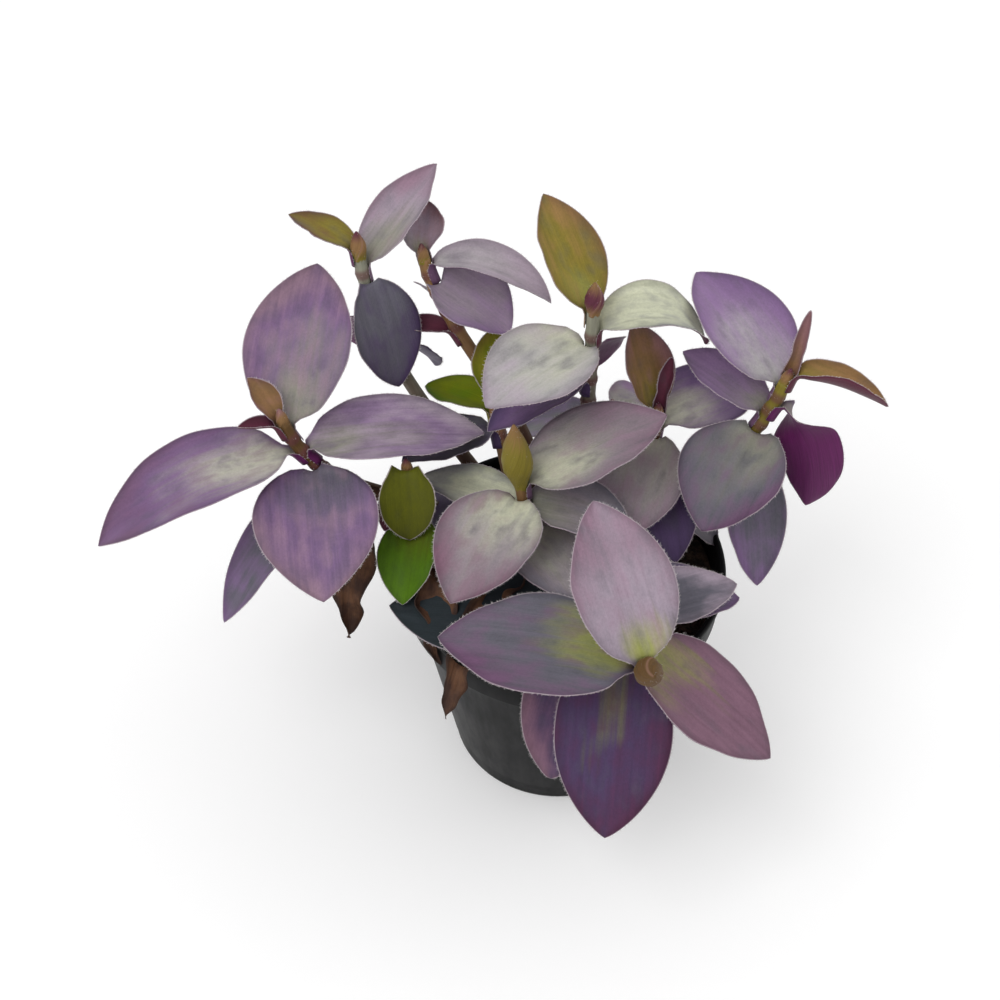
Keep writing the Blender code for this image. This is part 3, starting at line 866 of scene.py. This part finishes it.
def build_leaves():
    for index, (key, row) in enumerate(LEAVES.items()):
        rng = random.Random(100 + index)
        node = "leaf_" + key
        look = leaf_material(node + "_material", *LOOKS[key])
        build_leaf(node + "_blade", row, [look, HAIR], [node], rng)
    for index, (key, (row, slot)) in enumerate(EXTRA_LEAVES.items()):
        rng = random.Random(300 + index)
        name = "leaf_" + key
        look = leaf_material(name + "_material", *LOOKS[key])
        build_leaf(name + "_blade", row, [look, HAIR], (), rng)
    for index, (key, row) in enumerate(DRY_LEAVES.items()):
        build_leaf("leaf_%s_dry" % key, row, [DRY], (), random.Random(400 + index),
                   crumple=1.6, hairy=False)


# ---- pot and soil ----

def pot_inside_radius(height):
    share = height / (POT_HEIGHT - POT_RIM_DEPTH)
    return mix(POT_BASE_RADIUS, POT_NECK_RADIUS, share) - POT_WALL


def lathe(bm, profile, sides, close=True):
    """Surface of revolution about z from (radius, height) points; radius 0 ends in a point."""
    loops = []
    for radius, height in profile:
        if radius <= 0.0:
            loops.append([bm.verts.new((0.0, 0.0, height * MM))])
            continue
        loops.append([bm.verts.new((radius * MM * math.cos(math.tau * i / sides),
                                    radius * MM * math.sin(math.tau * i / sides),
                                    height * MM)) for i in range(sides)])
    for a, b in zip(loops, loops[1:]):
        for i in range(sides):
            j = (i + 1) % sides
            if len(a) == 1:
                bm.faces.new((a[0], b[i], b[j]))
            elif len(b) == 1:
                bm.faces.new((a[i], b[0], a[j]))
            else:
                bm.faces.new((a[i], b[i], b[j], a[j]))
    return loops


def build_pot():
    shoulder = POT_HEIGHT - POT_RIM_DEPTH
    inner_rim = POT_RIM_RADIUS - POT_WALL
    profile = [
        (0.0, POT_FLOOR),
        (pot_inside_radius(POT_FLOOR) - 2.0, POT_FLOOR),
        (pot_inside_radius(POT_FLOOR + 2.0), POT_FLOOR + 2.0),
        (pot_inside_radius(shoulder), shoulder),
        (inner_rim, shoulder + 3.0),
        (inner_rim + 0.4, POT_HEIGHT - 1.6),
        (inner_rim + 0.8, POT_HEIGHT - 0.5),
        (inner_rim + 1.6, POT_HEIGHT),
        (POT_RIM_RADIUS + 0.2, POT_HEIGHT),
        (POT_RIM_RADIUS + 0.8, POT_HEIGHT - 0.5),
        (POT_RIM_RADIUS + 1.0, POT_HEIGHT - 1.3),
        (POT_RIM_RADIUS + 1.0, POT_HEIGHT - 2.9),
        (POT_RIM_RADIUS + 0.7, POT_HEIGHT - 3.6),
        (POT_RIM_RADIUS, POT_HEIGHT - 4.0),
        (POT_RIM_RADIUS - 0.6, shoulder + 1.0),
        (POT_RIM_RADIUS - 0.9, shoulder + 0.3),
        (POT_RIM_RADIUS - 1.5, shoulder),
        (POT_NECK_RADIUS + 0.4, shoulder),
        (POT_NECK_RADIUS, shoulder - 0.5),
        (mix(POT_BASE_RADIUS, POT_NECK_RADIUS, 0.10), 10.0),
        (mix(POT_BASE_RADIUS, POT_NECK_RADIUS, 0.10) - 0.5, 9.5),
        (POT_BASE_RADIUS + 0.1, 2.0),
        (POT_BASE_RADIUS - 0.4, 0.6),
        (POT_BASE_RADIUS - 1.4, 0.0),
        (POT_BASE_RADIUS - 5.0, 0.0),
        (POT_BASE_RADIUS - 6.0, 0.6),
        (0.0, 0.8),
    ]
    bm = bmesh.new()
    lathe(bm, profile, 96)
    pot = add_piece("pot_shell", bm, [pot_material()], ["pot"])
    for index in range(DRAIN_COUNT):
        turn = math.tau * (index + 0.5) / DRAIN_COUNT
        cutter = bmesh.new()
        bmesh.ops.create_cone(cutter, cap_ends=True, segments=32, radius1=DRAIN_RADIUS * MM,
                              radius2=DRAIN_RADIUS * MM, depth=12.0 * MM)
        bmesh.ops.translate(cutter, verts=cutter.verts,
                            vec=(DRAIN_CIRCLE * MM * math.cos(turn),
                                 DRAIN_CIRCLE * MM * math.sin(turn), 0.0))
        mesh = bpy.data.meshes.new("drain")
        cutter.to_mesh(mesh)
        cutter.free()
        tool = bpy.data.objects.new("drain", mesh)
        bpy.context.scene.collection.objects.link(tool)
        cut = pot.modifiers.new("drain", "BOOLEAN")
        cut.operation = "DIFFERENCE"
        cut.solver = "EXACT"
        cut.object = tool
        apply_modifiers(pot)
        bpy.data.objects.remove(tool, do_unlink=True)
    pot.data.set_sharp_from_angle(angle=math.radians(40.0))


def apply_modifiers(obj):
    graph = bpy.context.evaluated_depsgraph_get()
    mesh = bpy.data.meshes.new_from_object(obj.evaluated_get(graph))
    obj.modifiers.clear()
    obj.data = mesh


def soil_height(x, y):
    away = math.hypot(x, y) / (POT_RIM_RADIUS - POT_WALL)
    spot = Vector((x, y, 0.0))
    height = SOIL_TOP + SOIL_CROWN * (1.0 - away * away)
    height += 1.5 * noise.noise(spot * 0.06) + 0.9 * noise.noise(spot * 0.22)
    return height + 0.5 * noise.noise(spot * 0.7)


def build_soil():
    brim = POT_RIM_RADIUS - POT_WALL - 0.4
    bm = bmesh.new()
    sides, rings = 120, 44
    centre = bm.verts.new((0.0, 0.0, soil_height(0.0, 0.0) * MM))
    loops = []
    for k in range(1, rings + 1):
        radius = brim * k / rings
        loop = []
        for i in range(sides):
            x = radius * math.cos(math.tau * i / sides)
            y = radius * math.sin(math.tau * i / sides)
            loop.append(bm.verts.new((x * MM, y * MM, soil_height(x, y) * MM)))
        loops.append(loop)
    for radius, height in ((brim, 91.6), (pot_inside_radius(88.0) - 0.4, 88.0),
                           (pot_inside_radius(3.4) - 0.6, 3.4)):
        loops.append([bm.verts.new((radius * MM * math.cos(math.tau * i / sides),
                                    radius * MM * math.sin(math.tau * i / sides),
                                    height * MM)) for i in range(sides)])
    for i in range(sides):
        j = (i + 1) % sides
        bm.faces.new((centre, loops[0][i], loops[0][j]))
        for a, b in zip(loops, loops[1:]):
            bm.faces.new((a[i], b[i], b[j], a[j]))
    bm.faces.new(loops[-1])
    add_piece("soil_bed", bm, [SOIL], ["soil"])


def pebble(bm, centre, size, rng, flat=0.7):
    made = bmesh.ops.create_icosphere(bm, subdivisions=2, radius=1.0)
    seed = rng.uniform(0.0, 99.0)
    turn = rng.uniform(0.0, math.tau)
    long_side = rng.uniform(1.0, 1.5)
    for vert in made["verts"]:
        spot = vert.co.copy()
        rough = 1.0 + 0.35 * noise.noise(spot * 1.7 + Vector((seed, 0.0, 0.0)))
        x = spot.x * long_side * rough
        y = spot.y * rough
        vert.co = Vector(((centre.x + size * (x * math.cos(turn) - y * math.sin(turn))) * MM,
                          (centre.y + size * (x * math.sin(turn) + y * math.cos(turn))) * MM,
                          (centre.z + size * spot.z * flat * rough) * MM))


def build_crumbs():
    brim = POT_RIM_RADIUS - POT_WALL - 3.0
    for name, count, sizes, look, seed in (
            ("soil_crumbs", 260, (0.7, 2.0), SOIL, 11),
            ("soil_perlite", 26, (0.6, 1.3), perlite_material(), 12)):
        rng = random.Random(seed)
        bm = bmesh.new()
        for _i in range(count):
            away = brim * math.sqrt(rng.random())
            turn = rng.uniform(0.0, math.tau)
            x, y = away * math.cos(turn), away * math.sin(turn)
            size = rng.uniform(*sizes)
            pebble(bm, Vector((x, y, soil_height(x, y) + size * 0.1)), size, rng)
        add_piece(name, bm, [look])


# ---- floor, light, camera ----

def build_stage():
    bm = bmesh.new()
    bmesh.ops.create_grid(bm, x_segments=1, y_segments=1, size=6.0)
    mesh = bpy.data.meshes.new("studio_floor")
    bm.to_mesh(mesh)
    bm.free()
    n = Nodes("studio_floor_material")
    tree = n.tree
    n.finish((0.90, 0.90, 0.90, 1.0), 0.9)
    path = tree.nodes.new("ShaderNodeLightPath")
    seen = n.math("MAXIMUM", path.outputs["Is Camera Ray"], path.outputs["Is Glossy Ray"])
    seen = n.math("MAXIMUM", seen, path.outputs["Is Transmission Ray"])
    x, y, z = n.parts(n.coordinates())
    away = n.math("MULTIPLY_ADD", x, x, n.math("MULTIPLY", y, y))
    glow = tree.nodes.new("ShaderNodeEmission")
    glow.inputs["Color"].default_value = (1.0, 1.0, 1.0, 1.0)
    n.put(glow.inputs["Strength"], n.math("MULTIPLY", seen, n.ramp(away, 0.1, 1.5, 0.12, 0.36)))
    both = tree.nodes.new("ShaderNodeAddShader")
    tree.links.new(n.shader.outputs[0], both.inputs[0])
    tree.links.new(glow.outputs[0], both.inputs[1])
    tree.links.new(both.outputs[0], tree.nodes["Material Output"].inputs["Surface"])
    mesh.materials.append(n.material)
    floor = bpy.data.objects.new("studio_floor", mesh)
    bpy.context.scene.collection.objects.link(floor)


def build_world():
    world = bpy.data.worlds.new("studio")
    world.use_nodes = True
    tree = world.node_tree
    back = tree.nodes["Background"]
    path = tree.nodes.new("ShaderNodeLightPath")
    strength = tree.nodes.new("ShaderNodeMapRange")
    tree.links.new(path.outputs["Is Camera Ray"], strength.inputs["Value"])
    strength.inputs["To Min"].default_value = 0.78
    strength.inputs["To Max"].default_value = 1.0
    back.inputs["Color"].default_value = (1.0, 1.0, 1.0, 1.0)
    tree.links.new(strength.outputs["Result"], back.inputs["Strength"])
    bpy.context.scene.world = world


def area_light(name, location, aim, size, power):
    data = bpy.data.lights.new(name, "AREA")
    data.shape = "SQUARE"
    data.size = size
    data.energy = power
    lamp = bpy.data.objects.new(name, data)
    bpy.context.scene.collection.objects.link(lamp)
    lamp.location = location
    pointing = Vector(aim) - Vector(location)
    lamp.rotation_euler = pointing.to_track_quat("-Z", "Y").to_euler()


def build_camera():
    data = bpy.data.cameras.new("camera")
    data.lens = 50.0
    data.sensor_width = 36.0
    data.clip_start = 0.01
    data.clip_end = 50.0
    camera = bpy.data.objects.new("camera", data)
    bpy.context.scene.collection.objects.link(camera)
    camera.location = (-0.025, -0.380, 0.518)
    camera.rotation_euler = (math.radians(45.0), 0.0, 0.0)
    bpy.context.scene.camera = camera


build_camera()
build_stage()
build_world()
area_light("key_light", (-0.7, -0.7, 1.5), (0.0, 0.0, 0.12), 1.0, 10.0)
area_light("fill_light", (1.1, 0.5, 1.0), (0.0, 0.0, 0.12), 1.2, 3.0)
build_pot()
build_soil()
build_crumbs()
for number, letter in enumerate(STEMS):
    build_stem(letter, random.Random(500 + number))
    build_bud(letter, random.Random(600 + number))
build_leaves()

bpy.context.scene.view_settings.view_transform = "Standard"
